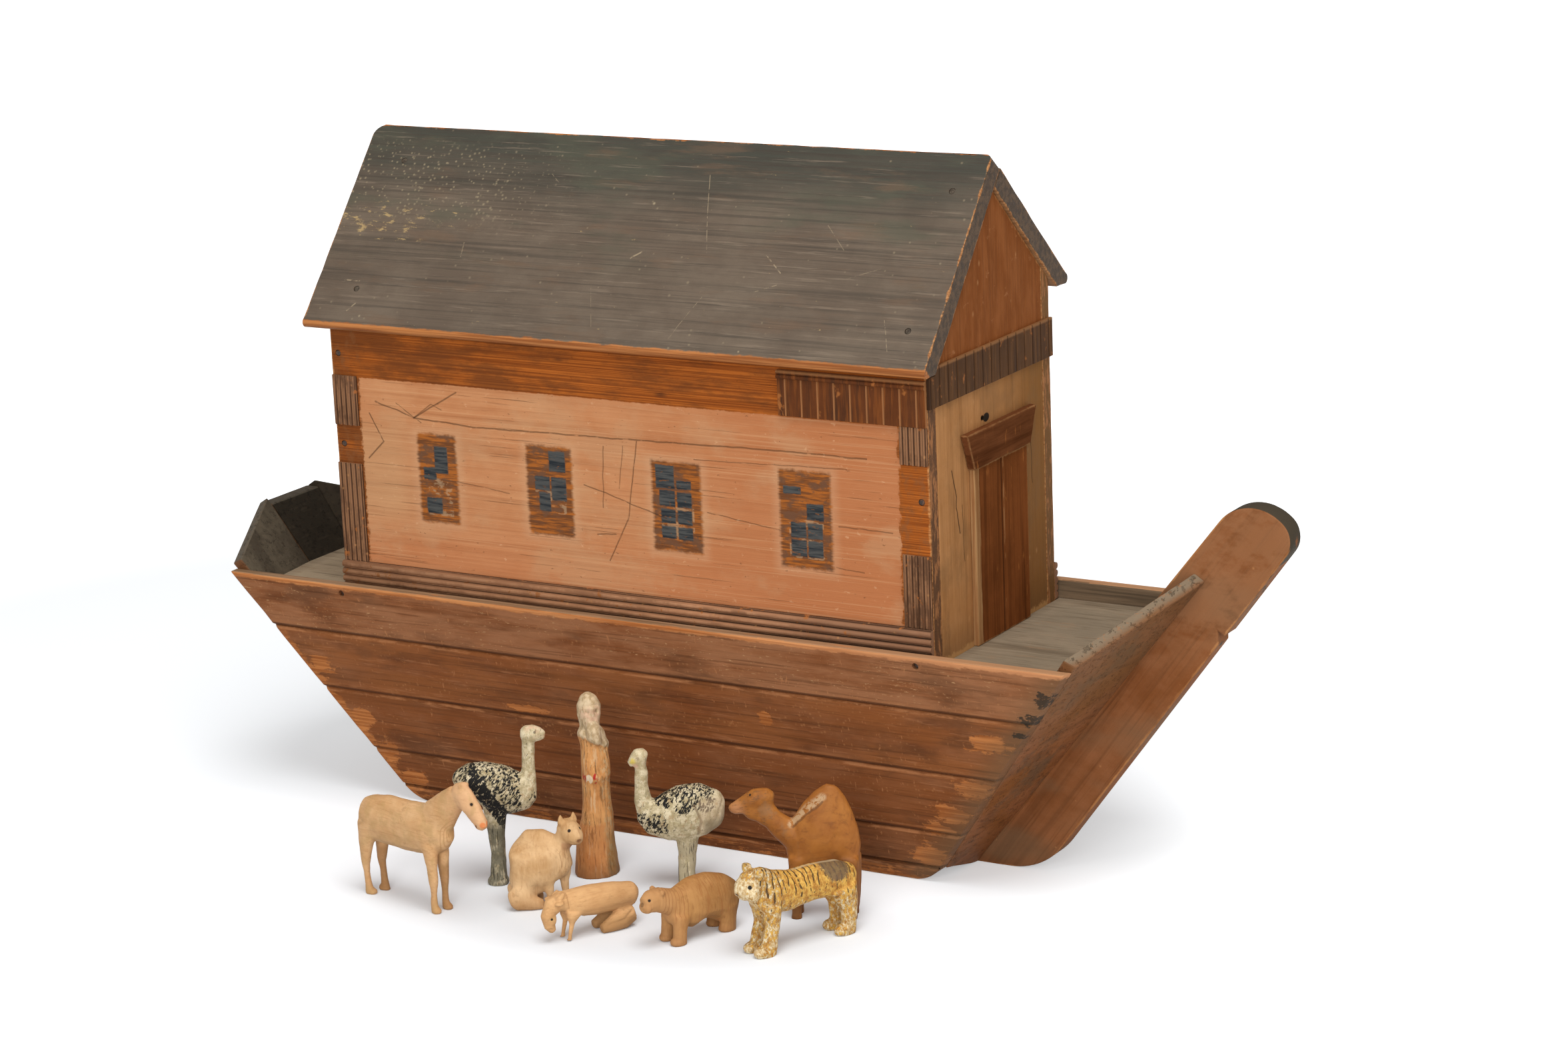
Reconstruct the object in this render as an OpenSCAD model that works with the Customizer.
// Toy ark: a flat-bottomed board hull, a house with a hinged roof slope, and nine carved figures.
// Millimetres. +X points to the bow, +Y to the back, +Z up. The origin is the centre of the flat bottom.

/* [Hull] */
// Height of the gunwale above the floor
hull_h = 117; // [105:1:140]
// Length of the flat bottom
bottom_l = 286; // [260:1:320]
// Width of the flat bottom
bottom_w = 78; // [60:1:90]
// Width across the gunwales
beam = 144; // [142:1:170]
// Reach of the gunwale past the bottom at the stern
stern_rake = 79; // [60:1:100]
// Reach of the gunwale past the bottom at the bow
bow_rake = 86; // [70:1:105]
// How far the foot of the stem stands ahead of the corners of the bottom
bow_vee = 7; // [4:0.5:12]
// How far the foot of the transom stands behind the corners of the bottom
stern_vee = 3.5; // [2:0.5:8]
// Thickness of the side, bow, quarter and transom boards
hull_board = 6; // [4:0.5:6.5]
// Thickness of the bottom board
bottom_t = 8; // [6:0.5:12]
// Rise of the bow boards above the gunwale, at the stem
bow_rise = 29; // [15:1:40]
// Rise of the transom above the gunwale
stern_rise = 20; // [10:1:30]
// Width of the transom at its top
transom_top_w = 39; // [30:1:50]
// Width of the transom at its foot
transom_foot_w = 22; // [16:1:30]
// Radius of the worn lower corners of the side boards
corner_r = 18; // [8:1:24]
// Depth of the scored plank lines
plank_line = 1.2; // [0.6:0.1:1.8]
// Distance from the gunwale to the first plank line
first_plank = 27.5; // [20:0.5:34]
// Distance between plank lines
plank_pitch = 31.5; // [24:0.5:34]
// Height of the lowest plank line above the floor
heel_line = 8; // [5:0.5:14]
// Glue line between boards that meet
joint_gap = 0.1; // [0.05:0.05:0.2]

/* [Stem] */
// Thickness of the stem post
stem_t = 12; // [9:0.5:16]
// Length of the stem post along its rake, from the floor line of the bow
stem_l = 232; // [205:1:250]
// Part of the stem's width that lies inside the bow boards
stem_inner = 12; // [9:0.5:16]
// Part of the stem's width ahead of the bow boards, at the foot
stem_foot_w = 27; // [20:0.5:34]
// Part of the stem's width ahead of the bow boards, at the head
stem_head_w = 20; // [15:0.5:28]
// Radius of the rear corner of the head
head_rear_r = 20; // [8:1:22]
// Radius of the front corner of the head
head_front_r = 11; // [5:1:14]
// Radius of the heel
heel_r = 34; // [15:1:45]
// Distance of the notch in the front edge from the floor line, along the rake
notch_at = 171; // [140:1:185]
// Depth of the notch
notch_d = 4; // [2:0.5:6]

/* [Deck] */
// Height of the deck above the floor
deck_z = 109; // [104:1:112]
// Thickness of the deck boards
deck_t = 6; // [4:0.5:8]

/* [House] */
// Length of the house
house_l = 320; // [290:1:340]
// Width of the house
house_w = 120; // [100:1:121]
// Thickness of the walls and gables
wall_t = 8; // [6:0.5:10]
// Diameter of the peg hole in the bow gable
peg_hole_d = 3; // [2:0.5:5]
// Distance of the peg hole behind the middle of the house
peg_hole_y = -8.7; // [-20:0.1:20]

/* [Roof] */
// Height of the ridge above the floor
ridge_z = 327; // [310:1:345]
// Distance of the ridge behind the middle of the house
ridge_y = 4; // [0:0.5:8]
// Pitch of the front slope, which is the lid
front_pitch = 50.5; // [46:0.5:54]
// Pitch of the back slope
back_pitch = 43; // [40:0.5:46]
// Thickness of the roof boards
roof_t = 10; // [8:0.5:11]
// Height of the level underside of the front eave
front_soffit = 240; // [237:1:244]
// Height of the level underside of the back eave
back_soffit = 256.5; // [250:0.5:260]
// Radius of the eave noses
nose_r = 2.5; // [1:0.5:3]
// Overhang of the roof past the stern gable
stern_overhang = 12; // [4:1:20]
// Overhang of the roof past the bow gable
bow_overhang = 2; // [1:0.5:12]
// Radius of the lid's corners
lid_corner_r = 6; // [2:0.5:8]
// Clearance between the lid and what it rests on
lid_gap = 0.2; // [0.1:0.05:0.4]

/* [Lid cleats] */
// Width of a cleat
cleat_w = 7; // [5:0.5:10]
// Depth of a cleat under the lid
cleat_h = 8; // [5:0.5:10]
// Clearance between a cleat and the gable beside it
cleat_gap = 0.6; // [0.4:0.1:1]
// Distance of a cleat's upper end from the back slope
cleat_margin = 2.6; // [1.5:0.1:4]
// Length of a cleat along the slope
cleat_l = 82; // [60:1:84]

/* [Hinges] */
// Distance of each hinge from the middle of the roof
hinge_x = 105; // [60:1:130]
// Width of a hinge along the ridge
hinge_w = 26; // [20:1:36]
// Thickness of the iron leaves
leaf_t = 0.8; // [0.6:0.1:1]
// Length of the leaf on the back slope
back_leaf_l = 13; // [10:0.5:18]
// Length of the leaf on the lid's edge
lid_leaf_l = 8; // [6:0.5:8]
// Radius of the knuckles
knuckle_r = 1.6; // [1.4:0.1:2]
// Diameter of the hinge pins
pin_d = 1.2; // [1:0.1:1.4]
// Radial clearance between pin and knuckle
pin_gap = 0.05; // [0.03:0.01:0.1]
// Clearance between neighbouring knuckles
knuckle_gap = 0.2; // [0.1:0.05:0.4]

/* [Trim] */
// Height of the base mouldings
moulding_h = 17.7; // [12:0.1:22]
// Thickness of the base mouldings
moulding_t = 3.2; // [2:0.1:3.4]
// Reeds on a base moulding
moulding_reeds = 5; // [3:1:7]
// Width of the corner strips
strip_w = 14; // [10:0.5:18]
// Thickness of the strips and friezes
strip_t = 1.6; // [1:0.1:2.4]
// Reeds on a corner strip
strip_reeds = 5; // [3:1:7]
// Height of the lower edge of the front frieze
frieze_z = 217.6; // [210:0.1:222]
// Distance of the front frieze's top below the eave
frieze_drop = 1.6; // [1:0.1:3]
// Length of the front frieze that is left
front_frieze_l = 74; // [50:1:110]
// Height of the bead under the eave
bead_h = 4; // [2:0.5:6]
// Height of the lower edge of the gable frieze
gable_frieze_z = 225.5; // [216:0.5:228]
// Height of the gable frieze
gable_frieze_h = 18; // [12:0.5:20]
// Width of the scored lines on the friezes and the door
score_w = 0.9; // [0.5:0.1:1.4]
// Distance between the stripes of the friezes
stripe_pitch = 8.2; // [6:0.1:12]
// Length of the upper strip left at the stern corner
stern_upper_l = 24; // [15:1:36]
// Length of the lower strip left at the stern corner
stern_lower_l = 48; // [30:1:50]
// Length of the upper strip left at the bow corner
bow_upper_l = 17; // [10:1:36]
// Length of the lower strip left at the bow corner
bow_lower_l = 33; // [20:1:50]

/* [Door] */
// Width of the door
door_w = 52; // [40:1:60]
// Height of the door
door_h = 81.5; // [70:0.5:88]
// Thickness of the door
door_t = 2.6; // [2:0.1:4]
// Distance of the door's middle behind the middle of the house
door_y = 3.4; // [-5:0.1:8]
// Width of the lintel at its top
lintel_top_w = 68; // [60:1:80]
// Width of the lintel at its foot
lintel_foot_w = 55; // [50:1:62]
// Height of the lintel
lintel_h = 17; // [12:0.5:18]
// Thickness of the lintel
lintel_t = 4; // [3:0.5:5]

/* [Nails] */
// Diameter of the nails
nail_d = 1.4; // [1:0.1:2]
// Diameter of the nail heads
nail_head_d = 3; // [2.4:0.1:3.6]
// Thickness of the nail heads
nail_head_h = 0.8; // [0.5:0.1:1.2]
// Radial clearance round a nail
nail_gap = 0.06; // [0.04:0.01:0.1]
// Length of a nail past the board it holds
nail_bite = 12; // [8:1:14]
// Distance of the lid nails from the ends of the cleats
lid_nail_inset = 6; // [4:0.5:10]
// Height of the lower wall nails above the floor
wall_nail_low = 184; // [178:1:190]
// Height of the upper wall nails above the floor
wall_nail_high = 228; // [215:1:230]
// Distance of the upper roof nails from the ridge
roof_nail_high = 22; // [18:1:30]
// Distance of the lower roof nails from the ridge
roof_nail_low = 68; // [50:1:70]
// Diameter of the hinge tacks
tack_d = 1; // [0.8:0.1:1.2]
// Diameter of the tack heads
tack_head_d = 2.2; // [1.8:0.1:2.6]
// Thickness of the tack heads
tack_head_h = 0.4; // [0.3:0.05:0.5]
// Length of a hinge tack
tack_l = 6; // [4:0.5:7]
// Depth to which the hull nails are sunk
hull_nail_sink = 1.5; // [1:0.1:2]
// Distance of the hull nails below the gunwale
hull_nail_drop = 4.5; // [3.5:0.5:6]

/* [Figures] */
// Height of the horse
horse_h = 64.5; // [55:0.5:68]
// Distance of the horse towards the bow
horse_x = -63; // [-67:0.5:-59]
// Distance of the horse from the gunwale's line
horse_off = 85.5; // [83.5:0.5:90.5]
// Height of the ostrich nearer the stern
stern_ostrich_h = 75.5; // [64:0.5:80]
// Distance of the ostrich nearer the stern towards the bow
stern_ostrich_x = -36; // [-40:0.5:-32]
// Distance of the ostrich nearer the stern from the gunwale's line
stern_ostrich_off = 49; // [47:0.5:54]
// Height of the ostrich nearer the bow
bow_ostrich_h = 67; // [57:0.5:71]
// Distance of the ostrich nearer the bow towards the bow
bow_ostrich_x = 43.5; // [39.5:0.5:47.5]
// Distance of the ostrich nearer the bow from the gunwale's line
bow_ostrich_off = 17; // [15:0.5:22]
// Height of the robed figure
robed_h = 87; // [74:0.5:92]
// Distance of the robed figure towards the bow
robed_x = -3.5; // [-7.5:0.5:0.5]
// Distance of the robed figure from the gunwale's line
robed_off = 19; // [17:0.5:24]
// Height of the camel
camel_h = 61.5; // [53:0.5:66]
// Distance of the camel towards the bow
camel_x = 121; // [117:0.5:125]
// Distance of the camel from the gunwale's line
camel_off = 24.5; // [22.5:0.5:29.5]
// Height of the seated cat
cat_h = 42.5; // [36:0.5:45]
// Distance of the seated cat towards the bow
cat_x = -5; // [-9:0.5:-1]
// Distance of the seated cat from the gunwale's line
cat_off = 66; // [64:0.5:71]
// Height of the grazing animal
grazer_h = 23; // [20:0.5:24]
// Distance of the grazing animal towards the bow
grazer_x = 35; // [31:0.5:39]
// Distance of the grazing animal from the gunwale's line
grazer_off = 88.5; // [86.5:0.5:93.5]
// Height of the bear
bear_h = 28; // [24:0.5:30]
// Distance of the bear towards the bow
bear_x = 81; // [77:0.5:85]
// Distance of the bear from the gunwale's line
bear_off = 68; // [66:0.5:73]
// Height of the tiger
tiger_h = 42.5; // [36:0.5:45]
// Distance of the tiger towards the bow
tiger_x = 126.6; // [122.6:0.5:130.6]
// Distance of the tiger from the gunwale's line
tiger_off = 58; // [56:0.5:63]

/* [Hidden] */
$fn = 48;
// Longer than the ark, for cutting with half spaces
reach = 700;
// Sides of a carved form's rings
carved_sides = 12;

// Hull boards lie on these planes, each a point and an outward normal; side -1 is the front, 1 the back
flare = (beam - bottom_w) / 2;
stern_top = hull_h + stern_rise;
bow_top = hull_h + bow_rise;
function unit(v) = v / norm(v);
function side_plane(s) = [[0, s * bottom_w / 2, 0], unit([0, s * hull_h, -flare])];
function bow_plane(s) = [
    [bottom_l / 2, s * bottom_w / 2, 0],
    s * unit(cross([bow_rake, s * flare, hull_h], [bow_vee, -s * (bottom_w - stem_t) / 2, 0]))];
function quarter_plane(s) = [
    [-bottom_l / 2, s * bottom_w / 2, 0],
    -s * unit(cross([-stern_rake, s * flare, hull_h],
                    [-stern_vee, -s * (bottom_w - transom_foot_w) / 2, 0]))];
function plane_x(plane, y, z) =
    plane[0][0] - (plane[1][1] * (y - plane[0][1]) + plane[1][2] * (z - plane[0][2])) / plane[1][0];
transom_top_x = plane_x(quarter_plane(1), transom_top_w / 2, stern_top);
transom_foot_x = -bottom_l / 2 - stern_vee;
transom_plane = [[transom_foot_x, 0, 0], unit([-stern_top, 0, transom_top_x - transom_foot_x])];
function transom_edge(s) = [
    [transom_foot_x, s * transom_foot_w / 2, 0],
    -s * unit(cross([transom_top_x - transom_foot_x, s * (transom_top_w - transom_foot_w) / 2, stern_top],
                    transom_plane[1]))];
side_board_w = hull_board * norm([hull_h, flare]) / hull_h;
function hull_half(z) = bottom_w / 2 + flare * z / hull_h;
function room_half(z) = hull_half(z) - side_board_w - joint_gap;

// The stem's own axes: along the bow boards' joint line, and square to it towards the front
stem_foot = [bottom_l / 2 + bow_vee, 0];
stem_up = unit([plane_x(bow_plane(1), stem_t / 2, bow_top) - stem_foot[0], bow_top]);
stem_out = [stem_up[1], -stem_up[0]];
function stem_point(u, w) = stem_foot + u * stem_up + w * stem_out;

// Roof lines in the house's cross-section, y across and z up
function front_outer(y) = ridge_z - (ridge_y - y) * tan(front_pitch);
function back_outer(y) = ridge_z - (y - ridge_y) * tan(back_pitch);
function front_under(y) = front_outer(y) - roof_t / cos(front_pitch);
function back_under(y) = back_outer(y) - roof_t / cos(back_pitch);
function front_rest(y) = front_under(y) - lid_gap / cos(front_pitch);
pitch_sum = tan(front_pitch) + tan(back_pitch);
seam_y = (back_outer(0) - front_under(0)) / pitch_sum;
edge_y = (back_outer(0) - front_rest(0)) / pitch_sum;
apex_y = (back_under(0) - front_rest(0)) / pitch_sum;
front_tip_y = ridge_y - (ridge_z - front_soffit) / tan(front_pitch);
back_tip_y = ridge_y + (ridge_z - back_soffit) / tan(back_pitch);
front_soffit_y = (front_soffit - front_under(0)) / tan(front_pitch);
front_rest_y = (front_soffit - lid_gap - front_rest(0)) / tan(front_pitch);
back_soffit_y = (back_under(0) - back_soffit) / tan(back_pitch);
roof_x0 = -house_l / 2 - stern_overhang;
roof_x1 = house_l / 2 + bow_overhang;
lid_l = (ridge_z - front_soffit) / sin(front_pitch);
cleat_start = roof_t / tan((180 - front_pitch - back_pitch) / 2) + cleat_margin;
cleat_mid = house_l / 2 - wall_t - cleat_gap - cleat_w / 2;

// House walls
half_w = house_w / 2;
gable_half = half_w - wall_t - joint_gap;
gable_mid = (house_l - wall_t) / 2;
wall_foot = (half_w + joint_gap - room_half(0)) * hull_h / flare;
moulding_top = deck_z + moulding_h;
frieze_top = front_soffit - frieze_drop;
strip_top = frieze_z - joint_gap;
strip_foot = moulding_top + joint_gap;
door_foot = deck_z + joint_gap;
lintel_foot = door_foot + door_h + joint_gap;
lintel_top = lintel_foot + lintel_h;

// Hinge knuckles, five to a hinge
knuckle_w = (hinge_w - 4 * knuckle_gap) / 5;
leaf_edge = knuckle_r + 2 * knuckle_gap;

// Colours of the painted and bare woods
hull_paint = "saddlebrown";
deck_paint = "darkkhaki";
front_paint = "darksalmon";
gable_paint = "peru";
trim_paint = "sienna";
door_paint = "brown";
roof_paint = "dimgray";
bare_wood = "burlywood";

// Cutting and placing helpers

module on_plane(plane) {
    n = plane[1];
    translate(plane[0]) rotate([0, acos(n[2]), atan2(n[1], n[0])]) children();
}

module inside(plane, inset = 0) {
    on_plane(plane) translate([-reach, -reach, -2 * reach - inset]) cube(2 * reach);
}

module slab(plane, thickness) {
    on_plane(plane) translate([-reach, -reach, -thickness]) cube([2 * reach, 2 * reach, thickness]);
}

module layer(z0, z1) {
    translate([-reach, -reach, z0]) cube([2 * reach, 2 * reach, z1 - z0]);
}

// Everything between the hull boards, drawn in from their outer faces
module hull_room(inset) {
    intersection() {
        inside(side_plane(-1), inset);
        inside(side_plane(1), inset);
        inside(bow_plane(-1), inset);
        inside(bow_plane(1), inset);
        inside(quarter_plane(-1), inset);
        inside(quarter_plane(1), inset);
        inside(transom_plane, inset);
    }
}

// A drawing of y and z, drawn out along x
module along_x(x0, x1) {
    translate([x0, 0, 0]) rotate([90, 0, 90]) linear_extrude(x1 - x0) children();
}

// A drawing of x and z, drawn out along y
module along_y(y0, y1) {
    translate([0, y1, 0]) rotate([90, 0, 0]) linear_extrude(y1 - y0) children();
}

// What a round of radius r takes off the corner at v, between edges that leave it along a and b
module corner_cut(v, a, b, r) {
    bisector = unit(a + b);
    half_angle = acos(a * b) / 2;
    tangent = r / tan(half_angle);
    centre = v + bisector * r / sin(half_angle);
    difference() {
        polygon([v - bisector * r, v + a * tangent, centre, v + b * tangent]);
        translate(centre) circle(r, $fn = 96);
    }
}

// Nails, drawn with extra clearance where they are taken out of the wood round them

module nail(l, extra = 0, sink = 0) {
    translate([0, 0, -l]) cylinder(d = nail_d + 2 * extra, h = l);
    translate([0, 0, -nail_head_h - extra]) cylinder(d = nail_head_d + 2 * extra, h = nail_head_h + extra);
    if (extra > 0) translate([0, 0, -extra]) cylinder(d = nail_head_d + 2 * extra, h = sink + 2 * extra);
}

module hull_nail_set(extra = 0) {
    z = hull_h - hull_nail_drop;
    y = hull_half(z) - hull_nail_sink;
    for (s = [-1, 1], e = [-1, 1])
        translate([e * gable_mid, s * y, z]) rotate([-s * 90, 0, 0])
            nail(y - gable_half + nail_bite, extra, 3 * hull_nail_sink);
}

module wall_nail_set(extra = 0) {
    for (s = [-1, 1], e = [-1, 1], z = [wall_nail_low, wall_nail_high])
        translate([e * gable_mid, s * half_w, z]) rotate([-s * 90, 0, 0]) nail(wall_t + nail_bite, extra);
}

module roof_nail_set(extra = 0) {
    for (e = [-1, 1], d = [roof_nail_high, roof_nail_low])
        translate([e * gable_mid, ridge_y, ridge_z]) rotate([-back_pitch, 0, 0]) translate([0, d, 0])
            nail(roof_t + nail_bite, extra);
}

module lid_nail_set(extra = 0) {
    for (e = [-1, 1], d = [cleat_start + lid_nail_inset, cleat_start + cleat_l - lid_nail_inset])
        translate([e * cleat_mid, ridge_y, ridge_z]) rotate([front_pitch, 0, 0]) translate([0, -d, 0])
            nail(roof_t + 0.75 * cleat_h, extra);
}

// Hull

// What wear has taken off the lower edges of the hull's ends
module worn_corners() {
    along_y(-beam, beam) {
        corner_cut([bottom_l / 2, 0], [-1, 0], unit([bow_rake, hull_h]), corner_r);
        corner_cut([-bottom_l / 2, 0], [1, 0], unit([-stern_rake, hull_h]), corner_r);
    }
}

module side_board(s) {
    lines = concat([heel_line], [for (i = [0:2]) hull_h - first_plank - i * plank_pitch]);
    color(hull_paint) difference() {
        intersection() {
            slab(side_plane(s), hull_board);
            inside(bow_plane(s));
            inside(quarter_plane(s));
            layer(0, hull_h);
        }
        worn_corners();
        for (z = lines)
            on_plane(side_plane(s)) translate([-z * norm([hull_h, flare]) / hull_h, 0, 0]) rotate([0, 45, 0])
                cube([plank_line * sqrt(2), 2 * reach, plank_line * sqrt(2)], center = true);
        hull_nail_set(nail_gap);
    }
}

// A board across an end of the hull, cut along its top from the gunwale's corner to a higher inner point
module end_board(s, plane, gunwale_corner, inner_corner) {
    top_normal = cross(inner_corner - gunwale_corner, plane[1]);
    difference() {
        intersection() {
            slab(plane, hull_board);
            inside(side_plane(s), hull_board + joint_gap);
            inside([gunwale_corner, unit(top_normal * sign(top_normal[2]))]);
            layer(0, 2 * hull_h);
        }
        worn_corners();
    }
}

module bow_board(s) {
    inner_x = plane_x(bow_plane(s), s * stem_t / 2, bow_top);
    color(hull_paint) intersection() {
        end_board(s, bow_plane(s), [bottom_l / 2 + bow_rake, s * beam / 2, hull_h],
                  [inner_x, s * stem_t / 2, bow_top]);
        translate([0, s * (stem_t / 2 + joint_gap + reach / 2), 0])
            cube([2 * reach, reach, 2 * reach], center = true);
    }
}

module quarter_board(s) {
    color(hull_paint) intersection() {
        end_board(s, quarter_plane(s), [-bottom_l / 2 - stern_rake, s * beam / 2, hull_h],
                  [transom_top_x, s * transom_top_w / 2, stern_top]);
        inside([transom_edge(s)[0], -transom_edge(s)[1]], joint_gap);
    }
}

module stern_transom() {
    color(hull_paint) difference() {
        intersection() {
            slab(transom_plane, hull_board);
            inside(transom_edge(-1));
            inside(transom_edge(1));
            layer(0, stern_top);
        }
        worn_corners();
    }
}

module stem_outline(extra = 0) {
    head = [stem_point(stem_l, -stem_inner), stem_point(stem_l, stem_head_w)];
    front_edge = unit(stem_point(0, stem_foot_w) - head[1]);
    heel = stem_point(0, stem_foot_w) - front_edge * stem_point(0, stem_foot_w)[1] / front_edge[1];
    difference() {
        polygon([stem_point(-stem_l, -stem_inner - extra), stem_point(stem_l, -stem_inner - extra), head[1],
                 stem_point(0, stem_foot_w), stem_point(0, stem_foot_w) + front_edge * stem_l]);
        translate([-reach, -2 * reach]) square(2 * reach);
        corner_cut(head[0], stem_out, -stem_up, head_rear_r);
        corner_cut(head[1], -stem_out, front_edge, head_front_r);
        corner_cut(heel, [-1, 0], -front_edge, heel_r);
        translate(stem_point(notch_at, stem_head_w + (stem_foot_w - stem_head_w) * (1 - notch_at / stem_l)))
            circle(notch_d, $fn = 3);
    }
}

module stem_slot() {
    along_y(-stem_t / 2 - joint_gap, stem_t / 2 + joint_gap) stem_outline(joint_gap);
}

module stem_post() {
    color(hull_paint) along_y(-stem_t / 2, stem_t / 2) stem_outline();
}

module bottom_board() {
    color(hull_paint) difference() {
        intersection() {
            hull_room(hull_board + joint_gap);
            layer(0, bottom_t);
        }
        stem_slot();
    }
}

module deck_board(x0, x1) {
    difference() {
        intersection() {
            hull_room(hull_board + joint_gap);
            translate([x0, -reach, deck_z - deck_t]) cube([x1 - x0, 2 * reach, deck_t]);
        }
        stem_slot();
    }
}

module stern_deck() {
    color(deck_paint) deck_board(-reach, -house_l / 2 - joint_gap);
}

module bow_deck() {
    color(deck_paint) deck_board(house_l / 2 + joint_gap, reach);
}

// House

module house_section(foot) {
    polygon([[-half_w, foot], [half_w, foot], [half_w, back_under(half_w)], [apex_y, back_under(apex_y)],
             [front_rest_y, front_soffit - lid_gap], [-half_w, front_soffit - lid_gap]]);
}

module wall(s) {
    difference() {
        intersection() {
            along_x(-house_l / 2, house_l / 2) house_section(wall_foot);
            translate([0, s * (half_w - wall_t / 2), ridge_z / 2])
                cube([house_l, wall_t, ridge_z], center = true);
        }
        hull_nail_set(nail_gap);
        wall_nail_set(nail_gap);
    }
}

module front_wall() {
    color(front_paint) wall(-1);
}

module back_wall() {
    color(front_paint) wall(1);
}

// The gable boards run down into the hull as bulkheads
module gable(e) {
    x = e * gable_mid;
    difference() {
        intersection() {
            along_x(x - wall_t / 2, x + wall_t / 2) polygon([
                [-room_half(0), 0], [room_half(0), 0], [room_half(wall_foot), wall_foot - joint_gap],
                [gable_half, wall_foot - joint_gap], [gable_half, back_under(gable_half)],
                [apex_y, back_under(apex_y)], [-gable_half, front_rest(-gable_half)],
                [-gable_half, wall_foot - joint_gap], [-room_half(wall_foot), wall_foot - joint_gap]]);
            hull_room(hull_board + joint_gap);
        }
        hull_nail_set(nail_gap);
        wall_nail_set(nail_gap);
        roof_nail_set(nail_gap);
    }
}

module stern_gable() {
    color(gable_paint) gable(-1);
}

module bow_gable() {
    peg_z = lintel_top + peg_hole_d;
    color(gable_paint) difference() {
        gable(1);
        stem_slot();
        translate([gable_mid, peg_hole_y, peg_z]) rotate([0, 90, 0])
            cylinder(d = peg_hole_d, h = 2 * wall_t, center = true);
    }
}

// A flat back with half-round reeds side by side, w wide and t thick
module reeded_section(w, t, reeds) {
    r = w / reeds / 2;
    square([w, t - min(r, t / 2)]);
    for (i = [0:reeds - 1])
        translate([(2 * i + 1) * r, t - min(r, t / 2)]) intersection() {
            scale(min(r, t / 2) / r) circle(r);
            translate([-r, 0]) square([2 * r, r]);
        }
}

module base_moulding(s) {
    color(trim_paint) difference() {
        mirror([0, s > 0 ? 0 : 1, 0]) translate([0, half_w, 0]) along_x(-house_l / 2, house_l / 2)
            translate([0, deck_z]) mirror([1, -1]) reeded_section(moulding_h, moulding_t, moulding_reeds);
        hull_nail_set(nail_gap);
    }
}

module corner_strip(x, foot, l) {
    color(trim_paint) translate([x, -half_w, foot]) mirror([0, 1, 0]) linear_extrude(l)
        reeded_section(strip_w, strip_t, strip_reeds);
}

module stern_upper_strip() {
    corner_strip(-house_l / 2, strip_top - stern_upper_l, stern_upper_l);
}

module stern_lower_strip() {
    corner_strip(-house_l / 2, strip_foot, stern_lower_l);
}

module bow_upper_strip() {
    corner_strip(house_l / 2 - strip_w, strip_top - bow_upper_l, bow_upper_l);
}

module bow_lower_strip() {
    corner_strip(house_l / 2 - strip_w, strip_foot, bow_lower_l);
}

module score(l) {
    rotate([0, 0, 45]) cube([score_w / sqrt(2), score_w / sqrt(2), l], center = true);
}

// A flat strip with a fine groove at each stripe
module striped_strip(l, h, t) {
    difference() {
        cube([l, t, h]);
        for (x = [stripe_pitch / 2:stripe_pitch:l - score_w])
            translate([x, t, h / 2]) score(2 * h);
    }
}

module front_frieze() {
    x = house_l / 2 - front_frieze_l;
    h = frieze_top - bead_h - frieze_z;
    color(trim_paint) translate([x, -half_w, frieze_z]) mirror([0, 1, 0]) {
        striped_strip(front_frieze_l, h, strip_t);
        translate([0, 0, h]) cube([front_frieze_l, strip_t, bead_h]);
        for (i = [0, 1])
            translate([0, strip_t, h + (2 * i + 1) * bead_h / 4]) rotate([0, 90, 0])
                cylinder(r = bead_h / 4, h = front_frieze_l);
    }
}

module gable_frieze() {
    color(trim_paint) intersection() {
        translate([house_l / 2, half_w, gable_frieze_z]) rotate([0, 0, -90])
            striped_strip(house_w, gable_frieze_h, strip_t);
        along_x(0, reach) house_section(0);
    }
}

module door_board() {
    color(door_paint) difference() {
        translate([house_l / 2, door_y - door_w / 2, door_foot]) cube([door_t, door_w, door_h]);
        translate([house_l / 2 + door_t, door_y, door_foot]) score(3 * door_h);
    }
}

module door_lintel() {
    color(door_paint) along_x(house_l / 2, house_l / 2 + lintel_t) translate([door_y, 0]) polygon([
        [-lintel_foot_w / 2, lintel_foot], [lintel_foot_w / 2, lintel_foot],
        [lintel_top_w / 2, lintel_top], [-lintel_top_w / 2, lintel_top]]);
}

// Roof

module back_roof_board() {
    tip = [back_tip_y, back_soffit];
    color(roof_paint) difference() {
        along_x(roof_x0, roof_x1) difference() {
            polygon([[apex_y, back_under(apex_y)], [edge_y, back_outer(edge_y)], tip,
                     [back_soffit_y, back_soffit]]);
            corner_cut(tip, [-1, 0], [-cos(back_pitch), sin(back_pitch)], nose_r);
        }
        roof_nail_set(nail_gap);
        back_tack_set(nail_gap);
    }
}

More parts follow.
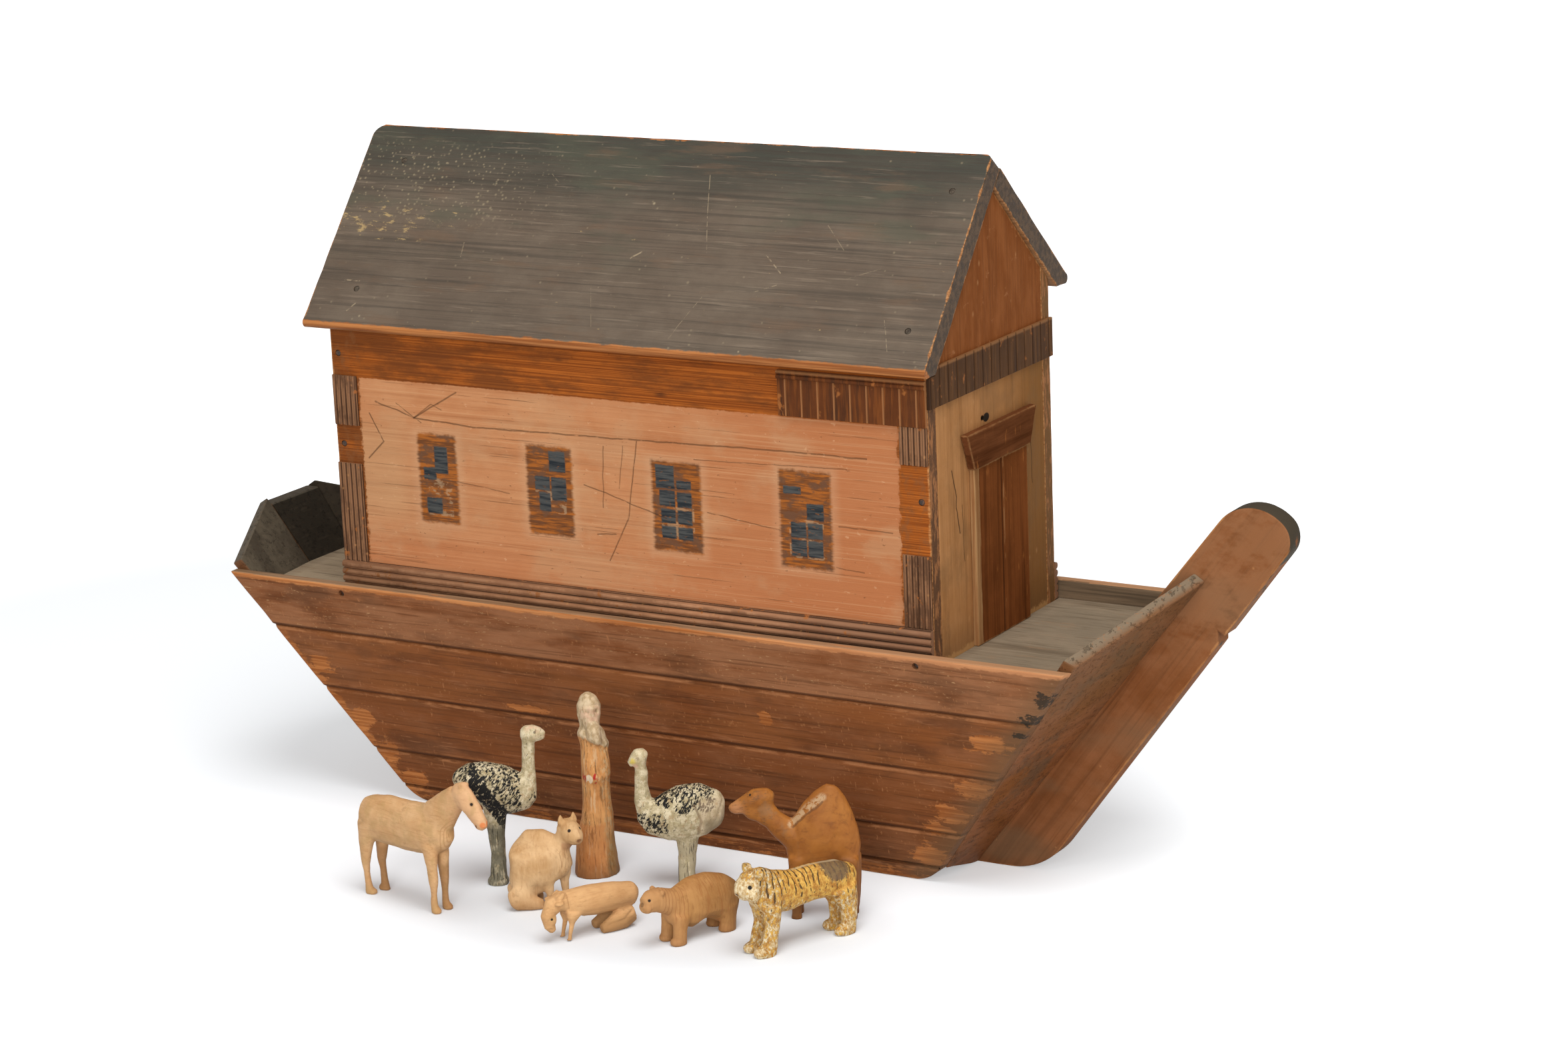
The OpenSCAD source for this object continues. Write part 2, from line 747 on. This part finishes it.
module roof_lid() {
    tip = [front_tip_y, front_soffit];
    color(roof_paint) difference() {
        along_x(roof_x0, roof_x1) difference() {
            polygon([[ridge_y, ridge_z], tip, [front_soffit_y, front_soffit], [seam_y, back_outer(seam_y)]]);
            corner_cut(tip, [1, 0], [cos(front_pitch), sin(front_pitch)], nose_r);
        }
        translate([0, ridge_y, ridge_z]) rotate([front_pitch, 0, 0]) translate([0, 0, -2 * roof_t])
            linear_extrude(4 * roof_t) {
                corner_cut([roof_x0, 0], [1, 0], [0, -1], lid_corner_r);
                corner_cut([roof_x1, 0], [-1, 0], [0, -1], lid_corner_r / 2);
                corner_cut([roof_x0, -lid_l], [1, 0], [0, 1], lid_corner_r / 2);
                corner_cut([roof_x1, -lid_l], [-1, 0], [0, 1], lid_corner_r / 2);
            }
        lid_nail_set(nail_gap);
        lid_tack_set(nail_gap);
    }
}

module cleat(e) {
    color(bare_wood) difference() {
        translate([e * cleat_mid, ridge_y, ridge_z]) rotate([front_pitch, 0, 0])
            translate([-cleat_w / 2, -cleat_start - cleat_l, -roof_t - cleat_h])
                cube([cleat_w, cleat_l, cleat_h]);
        lid_nail_set(nail_gap);
    }
}

module stern_cleat() {
    cleat(-1);
}

module bow_cleat() {
    cleat(1);
}

// Hinges lie on the back slope, with their axis over the seam between lid and slope

module at_hinges() {
    for (e = [-1, 1])
        translate([e * hinge_x, seam_y, back_outer(seam_y)]) rotate([-back_pitch, 0, 0]) children();
}

module knuckle(i) {
    translate([-hinge_w / 2 + i * (knuckle_w + knuckle_gap), 0, knuckle_r]) rotate([0, 90, 0])
        cylinder(r = knuckle_r, h = knuckle_w);
}

module leaf(l, direction, knuckles) {
    difference() {
        union() {
            translate([-hinge_w / 2, direction > 0 ? leaf_edge : -l, 0])
                cube([hinge_w, l - leaf_edge, leaf_t]);
            for (i = knuckles) {
                knuckle(i);
                translate([-hinge_w / 2 + i * (knuckle_w + knuckle_gap), direction > 0 ? 0 : -leaf_edge, 0])
                    cube([knuckle_w, leaf_edge, leaf_t]);
            }
        }
        translate([-hinge_w, 0, knuckle_r]) rotate([0, 90, 0])
            cylinder(d = pin_d + 2 * pin_gap, h = 2 * hinge_w);
        tack_pair((direction * (l + leaf_edge)) / 2, nail_gap);
    }
}

// Two tacks through a leaf, at a distance y from the seam
module tack_pair(y, extra = 0) {
    for (e = [-1, 1])
        translate([e * hinge_w / 3, y, leaf_t]) {
            translate([0, 0, -tack_l]) cylinder(d = tack_d + 2 * extra, h = tack_l);
            if (extra == 0) cylinder(d = tack_head_d, h = tack_head_h);
        }
}

module back_tack_set(extra = 0) {
    at_hinges() tack_pair((back_leaf_l + leaf_edge) / 2, extra);
}

module lid_tack_set(extra = 0) {
    at_hinges() tack_pair(-(lid_leaf_l + leaf_edge) / 2, extra);
}

module hinge_back_tacks() {
    color("black") back_tack_set();
}

module hinge_lid_tacks() {
    color("black") lid_tack_set();
}

module hinge_back_leaves() {
    color("darkslategray") at_hinges() leaf(back_leaf_l, 1, [0, 2, 4]);
}

module hinge_lid_leaves() {
    color("darkslategray") at_hinges() leaf(lid_leaf_l, -1, [1, 3]);
}

module hinge_pins() {
    color("dimgray") at_hinges() translate([-hinge_w / 2 - pin_d / 2, 0, knuckle_r]) rotate([0, 90, 0])
        cylinder(d = pin_d, h = hinge_w + pin_d);
}

// Nail groups

module hull_nails() {
    color("black") hull_nail_set();
}

module wall_nails() {
    color("black") wall_nail_set();
}

module roof_nails() {
    color("black") roof_nail_set();
}

module lid_nails() {
    color("black") lid_nail_set();
}

// Carved figures. Each faces +x on its own ground, and is carved from forms that follow a line of rings.
// A ring is [x, z, half width, half height], square to the line through its neighbours.

module carved(rings) {
    n = len(rings);
    m = carved_sides;
    function along(i) = unit([for (k = [0, 1]) rings[min(i + 1, n - 1)][k] - rings[max(i - 1, 0)][k]]);
    points = [for (i = [0:n - 1], k = [0:m - 1])
        let (t = along(i), r = rings[i], a = 360 * (k + 0.5) / m)
        [r[0] - t[1] * r[3] * sin(a), r[2] * cos(a), r[1] + t[0] * r[3] * sin(a)]];
    walls = [for (i = [0:n - 2], k = [0:m - 1], half = [0, 1])
        let (a = i * m + k, b = i * m + (k + 1) % m)
        half == 0 ? [b, a, b + m] : [b + m, a, a + m]];
    polyhedron(points, concat([[for (k = [0:m - 1]) k]], walls, [[for (k = [m - 1:-1:0]) (n - 1) * m + k]]));
}

module pair(y) {
    for (s = [-1, 1]) translate([0, s * y, 0]) children();
}

// Stands a figure at x along the hull and off its gunwale's line, turned to a heading, at its own height
module stand(x, off, heading, h, drawn_h) {
    translate([x, -beam / 2 - off, 0]) rotate([0, 0, heading]) intersection() {
        scale(h / drawn_h) children();
        layer(0, reach);
    }
}

module horse() {
    color(bare_wood) stand(horse_x, horse_off, -12, horse_h, 64.5) {
        carved([[-25.8, 36, 2.5, 4.5], [-24, 36, 6, 9.2], [-18, 36.3, 7.4, 11], [-8, 37, 7.2, 12],
                [6, 37, 7.2, 12],
                [18, 38, 7, 12], [26, 39.5, 5.6, 10], [30.5, 41, 3, 6]]);
        carved([[18, 39, 6, 10.5], [27, 47.5, 5, 8.6], [33, 53.5, 4.2, 6.8], [38, 58, 3.4, 5.2]]);
        carved([[36.5, 61, 2, 2.6], [38.5, 60.5, 3.4, 4.6], [42, 58, 3.7, 5.5], [47, 53.5, 3.2, 4.8],
                [51.5, 48.5, 2.5, 3.6], [54.3, 45.6, 1.5, 2]]);
        pair(3.4) carved([[20.5, 32, 3.1, 4.8], [21.6, 22, 2.3, 2.9], [21.8, 12, 1.8, 2.2],
                          [21.5, 4, 1.6, 1.9],
                          [22.3, -1.5, 2, 2.4]]);
        for (s = [-1, 1]) translate([s > 0 ? 2.5 : 0, s * 3.8, 0])
            carved([[-20, 34, 3.5, 6.5], [-22.2, 24, 2.6, 4], [-23.3, 14, 1.9, 2.2], [-22.3, 5, 1.7, 1.9],
                    [-21.6, -1.5, 2, 2.4]]);
    }
}

module stern_ostrich() {
    color("gainsboro") stand(stern_ostrich_x, stern_ostrich_off, 31, stern_ostrich_h, 75.5) {
        carved([[-19.2, 49, 1.8, 3], [-17.5, 49.8, 4.4, 5.4], [-13, 50.5, 7.4, 8], [-7, 49.6, 9.3, 9.6],
                [0, 46.5, 9.8, 11.2], [8, 43.5, 8.6, 10.2], [14, 43, 5.6, 7.5], [17.7, 43.4, 2.2, 3.2]]);
        carved([[12.5, 41, 4.8, 5.8], [14.7, 50, 3.2, 3.7], [15, 58, 2.8, 3], [15.4, 66, 2.7, 2.9],
                [15.6, 71, 2.6, 2.8]]);
        carved([[12.2, 71.5, 1.6, 2], [14.2, 71.5, 3.4, 3.8], [17.8, 71.5, 3.6, 4], [21, 71, 2.8, 3.2],
                [23.3, 70.6, 1.4, 1.6]]);
        carved([[-1.5, 38, 4.8, 5.8], [-1.4, 26, 3.4, 4], [-1, 14, 3.1, 3.4], [-1.4, 5, 3.2, 3.8],
                [-2.2, -1.5, 3.7, 4.4]]);
    }
}

module bow_ostrich() {
    color("gainsboro") stand(bow_ostrich_x, bow_ostrich_off, 211, bow_ostrich_h, 67) {
        carved([[-19, 36.6, 2.2, 4.5], [-17, 36.8, 5.6, 8], [-9, 36.5, 9.1, 12.6], [0, 35.5, 9.6, 13],
                [8, 33.5, 8.6, 11.2],
                [15, 34, 6, 8], [20, 36, 2.4, 3.6]]);
        carved([[14, 33, 5, 6.4], [17.8, 42, 3.4, 4.2], [18.2, 50, 2.9, 3.1], [17.8, 57, 2.8, 3.1],
                [17.6, 62, 2.7, 3]]);
        carved([[14, 62.5, 1.8, 2.2], [16, 63, 3.4, 3.8], [19.3, 62.8, 3.5, 4], [22.3, 61.2, 2.6, 2.9],
                [24.3, 59.8, 1.3, 1.5]]);
        carved([[-1.5, 27, 4.8, 5.8], [-1.2, 16, 3.5, 4.2], [-0.6, 8, 3.3, 3.8], [-0.6, -1.5, 3.7, 4.4]]);
    }
}

module robed_figure() {
    color(bare_wood) stand(robed_x, robed_off, -40, robed_h, 86) {
        carved([[0, -1.5, 10.3, 9], [0, 2, 10.3, 9], [0, 14, 9, 8], [0, 32, 7.7, 7.1], [0, 48, 7.6, 6.9],
                [0, 59, 7.3, 6.4], [0, 66.5, 6.2, 5.4], [0, 70, 3.8, 4]]);
        carved([[0, 68, 3, 3.2], [0.3, 72, 4.3, 4.7], [0.4, 76, 5.4, 5.7], [0.2, 80.5, 5.3, 5.6],
                [0, 84.3, 3.7, 4],
                [0, 86, 1.5, 1.6]]);
        carved([[5, 75, 2.6, 1.5], [6, 70, 2.9, 1.9], [6, 65, 2.2, 1.8], [6, 62, 0.8, 0.8]]);
        for (s = [-1, 1]) rotate([0, 0, s * 48]) carved([[3.5, 64, 2.2, 2.4], [6.2, 56, 2.3, 2.4],
                                                        [7.2, 48, 2.2, 2.3]]);
        for (s = [-1, 1]) rotate([0, 0, s * 24]) carved([[7, 46.5, 5, 1.9], [7.3, 49, 4.6, 1.8]]);
    }
}

module camel() {
    color("chocolate") stand(camel_x, camel_off, 202, camel_h, 62.5) {
        carved([[0, 22.5, 4.4, 13], [0, 25, 6, 15.4], [0, 29.5, 7, 17], [0, 36, 7.2, 17.7],
                [-1.4, 44, 6.4, 15.4],
                [-2.6, 52, 4.8, 11.6], [-3.8, 58.5, 3.2, 7], [-4.6, 62.5, 1.3, 2.8]]);
        carved([[10, 36.5, 5.6, 8], [18, 41.5, 4.4, 6], [22.8, 46.2, 3.8, 5.1], [26.5, 51.5, 3.4, 4.6]]);
        carved([[21.5, 56, 1.8, 2.4], [24, 56.4, 3.3, 4.4], [29, 55.2, 3.6, 5.5], [34, 53.2, 3, 4.3],
                [38.5, 51.8, 2.2, 2.9], [41, 51.1, 1.2, 1.5]]);
        pair(3.6) carved([[11, 29, 3.2, 5], [12, 18, 2.4, 3.2], [12.4, 9, 2, 2.4], [12.6, 3, 1.9, 2.2],
                          [12.9, -1.5, 2.2, 2.6]]);
        pair(3.8) carved([[-11.5, 29, 3.2, 5.5], [-12.6, 18, 2.6, 3.8], [-13.4, 9, 2, 2.4],
                          [-12.6, 3, 1.9, 2.2],
                          [-12.2, -1.5, 2.2, 2.6]]);
    }
}

module cat() {
    color(bare_wood) stand(cat_x, cat_off, 35, cat_h, 42.5) {
        carved([[-11, 17, 2.6, 6.5], [-9.4, 17.2, 5.8, 12], [-4, 19, 7.8, 15.2], [2, 20.5, 7.6, 14],
                [8, 21, 6.6, 10.5],
                [13, 21.5, 5, 7.6], [16, 22, 2.4, 3.6]]);
        carved([[8, 25, 4.8, 6], [11, 30, 4.4, 5.2], [13, 34, 4, 4.8]]);
        translate([13, 0, 0]) rotate([0, 0, -40]) {
            carved([[-5, 34, 2.8, 3.4], [-2.8, 34.6, 4.8, 5.2], [2.2, 34.2, 5, 5.4], [6.4, 32.8, 3.8, 4.2],
                    [9, 31.8, 2.1, 2.3]]);
            pair(3.3) carved([[-0.8, 38, 1.9, 1.7], [-1, 40.4, 1.4, 1.2], [-1.2, 42.5, 0.5, 0.5]]);
        }
        for (s = [-1, 1]) translate([s > 0 ? 7 : 0, s * 3, 0])
            carved([[4.6, 20, 3.2, 5], [5.4, 12, 2.4, 3], [5.8, 5, 2, 2.3], [6.4, -1.5, 2.3, 2.9]]);
        pair(5.2) carved([[-11, 5.6, 2.6, 4], [-7.5, 5.8, 3.4, 6.2], [-2, 3.2, 3, 3.8],
                          [2.8, 1.8, 1.8, 2]]);
    }
}

module grazer() {
    color(bare_wood) stand(grazer_x, grazer_off, 243, grazer_h, 23) {
        carved([[-27, 14, 2.2, 3.6], [-24.5, 14.5, 5, 6.2], [-16, 15, 6.5, 7], [-6, 15.2, 6.6, 7],
                [3, 16, 6, 6.6],
                [9, 17, 4.4, 5.2]]);
        carved([[5, 17, 4.8, 5.6], [11.5, 18.2, 3.7, 4.5], [16, 17, 3.3, 4], [18.3, 12.6, 2.9, 3.1],
                [17.4, 8, 2.2, 2.5],
                [15.9, 5.2, 1.2, 1.4]]);
        pair(2.7) carved([[13.5, 20, 1.2, 1.3], [11, 22.5, 0.6, 0.6]]);
        pair(3) carved([[6.5, 13, 2.6, 3.8], [8, 7.5, 1.8, 2.1], [9.2, 2.5, 1.5, 1.7],
                        [9.8, -1.5, 1.7, 2]]);
        pair(3.8) carved([[-23, 6, 2.4, 3.6], [-17.5, 5, 3.4, 5.4], [-11, 3, 3, 3.4], [-6.5, 2, 1.9, 2]]);
    }
}

module bear() {
    color(bare_wood) stand(bear_x, bear_off, 248, bear_h, 28) {
        carved([[-20.6, 11.6, 3, 5], [-18.4, 12, 6.4, 9], [-12, 14, 8.2, 11.5], [-4, 16, 8.5, 12],
                [4, 16, 8, 11.6],
                [11, 16.5, 6.6, 9], [15, 17.5, 4.4, 6.2]]);
        carved([[8, 16.8, 5.6, 7], [15.5, 19.5, 5, 5.8], [21, 21.8, 4.8, 5.5], [25.5, 21.8, 4, 5],
                [28.3, 21, 2.4, 3.4]]);
        pair(4.3) carved([[11.3, 13, 3.6, 4.6], [12.6, 7, 2.9, 3.2], [13, 2.5, 2.9, 3.2],
                          [13.4, -1.5, 3, 3.6]]);
        pair(4.6) carved([[-12.5, 12, 3.8, 6.4], [-13, 6, 3.2, 4.2], [-13.2, 2, 3, 3.6],
                          [-13, -1.5, 3, 3.8]]);
    }
}

module tiger() {
    color("goldenrod") stand(tiger_x, tiger_off, 244.7, tiger_h, 42.5) {
        carved([[-29.8, 22, 2.2, 4], [-27.4, 23.3, 5.4, 6.8], [-19, 25.5, 6.8, 8.3],
                [-8, 26.4, 6.4, 8.3], [4, 25.5, 6.4, 9],
                [13, 26.5, 6.6, 10], [19, 28, 6, 9.4], [23, 30, 4, 6]]);
        carved([[14, 29, 5, 7.5], [20, 32, 5.6, 7.6], [25, 32, 5.6, 7.2], [28.5, 30.2, 4.2, 5],
                [30.6, 29, 2.4, 2.8]]);
        pair(4) carved([[23.5, 37.5, 1.9, 1.5], [23.5, 42.5, 0.9, 0.7]]);
        pair(4.2) carved([[17, 22, 3.9, 6], [18, 12, 3.2, 4.2], [18.6, 5, 3.1, 3.8], [20, -1.5, 3.3, 4.8]]);
        pair(4.4) carved([[-21.5, 22, 4, 7], [-24, 13, 3.1, 4.4], [-23.5, 4, 2.9, 3.4],
                          [-22.2, -1.5, 3.1, 4.4]]);
    }
}

bottom_board();
side_board(-1);  // front_side_board
side_board(1);  // back_side_board
bow_board(-1);  // front_bow_board
bow_board(1);  // back_bow_board
quarter_board(-1);  // front_quarter_board
quarter_board(1);  // back_quarter_board
stern_transom();
stem_post();
stern_deck();
bow_deck();
hull_nails();
front_wall();
back_wall();
stern_gable();
bow_gable();
wall_nails();
base_moulding(-1);  // front_base_moulding
base_moulding(1);  // back_base_moulding
front_frieze();
gable_frieze();
stern_upper_strip();
stern_lower_strip();
bow_upper_strip();
bow_lower_strip();
door_board();
door_lintel();
back_roof_board();
roof_nails();
hinge_back_leaves();
hinge_back_tacks();
hinge_pins();
roof_lid();
stern_cleat();
bow_cleat();
lid_nails();
hinge_lid_leaves();
hinge_lid_tacks();
horse();
stern_ostrich();
bow_ostrich();
robed_figure();
camel();
cat();
grazer();
bear();
tiger();
